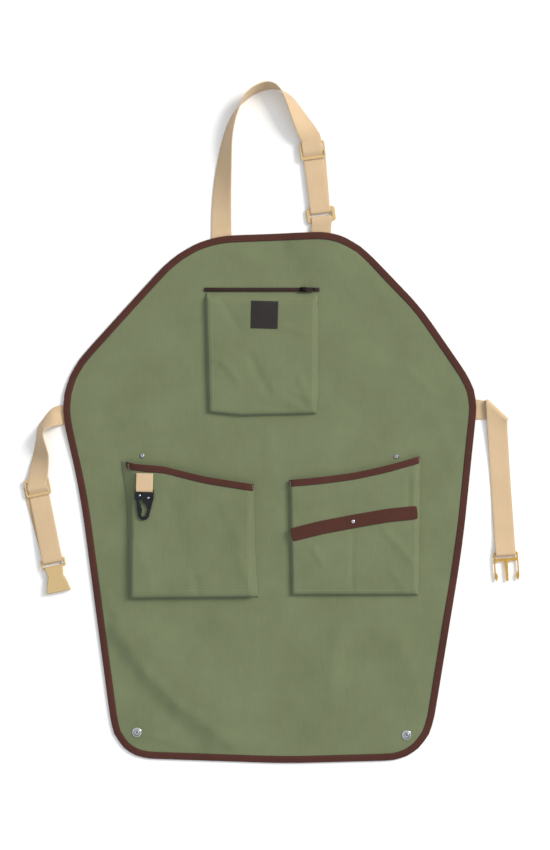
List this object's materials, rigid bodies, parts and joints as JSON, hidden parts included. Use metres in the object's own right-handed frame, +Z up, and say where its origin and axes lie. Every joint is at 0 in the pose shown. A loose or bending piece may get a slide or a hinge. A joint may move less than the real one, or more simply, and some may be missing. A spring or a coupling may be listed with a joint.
{
  "type": "gardening apron",
  "caption": "Green cloth bib apron with brown edge tape, pockets, webbing neck and waist straps, sliders, a spring clip and a side-release buckle, laid flat.",
  "frame": {"origin": "middle of the bounding box, on the floor that the apron lies on", "axes": "+Y from the hem towards the neck strap, +X to the right as the apron is seen from above, +Z up, away from the floor"},
  "size_m": [0.7432, 1.0188, 0.0314],
  "materials": {
    "green_canvas": "woven cotton canvas, matt",
    "brown_tape": "folded cotton tape, matt",
    "webbing": "flat cotton webbing, matt",
    "woven_label": "woven, bare",
    "zip_coil": "knitted zip tape",
    "zip_metal": "dark lacquer",
    "nickel": "nickel plated, polished",
    "beige_plastic": "moulded acetal",
    "gilt_plastic": "metallised, glossy",
    "black_steel": "black plated, semi-gloss"
  },
  "bodies": {
    "apron": {"apron_panel": "green_canvas", "edge_binding": "brown_tape", "left_pocket": "green_canvas", "right_pocket": "green_canvas", "chest_pocket": "green_canvas", "left_pocket_binding": "brown_tape", "right_pocket_binding": "brown_tape", "tool_band": "brown_tape", "band_rivet": "nickel", "pocket_label": "woven_label", "chest_zip": "zip_coil", "zip_slider": "zip_metal", "left_stud": "nickel", "right_stud": "nickel", "left_snap": "nickel", "right_snap": "nickel", "neck_strap": "webbing", "neck_slider": "beige_plastic", "neck_ring": "beige_plastic", "neck_anchor": "webbing", "left_waist_strap": "webbing", "waist_slider": "beige_plastic", "buckle_socket": "beige_plastic", "right_waist_strap": "webbing", "buckle_plug": "gilt_plastic", "clip_tab": "webbing", "clip_frame": "black_steel"},
    "clip_gate": {"clip_gate": "black_steel"},
    "zip_pull": {"zip_pull": "zip_metal"}
  },
  "joints": [
    {"name": "clip_gate", "type": "hinge", "parent": "apron", "child": "clip_gate", "pos_m": [-0.19951, -0.10935, 0.01665], "axis": [0, 0, 1], "range_deg": [0, 15], "stiffness_Nm_per_rad": 0.05, "springref_deg": -11.46},
    {"name": "zip_pull", "type": "hinge", "parent": "apron", "child": "zip_pull", "pos_m": [0.04773, 0.19994, 0.00975], "axis": [0, -1, 0], "range_deg": [0, 200]}
  ]
}
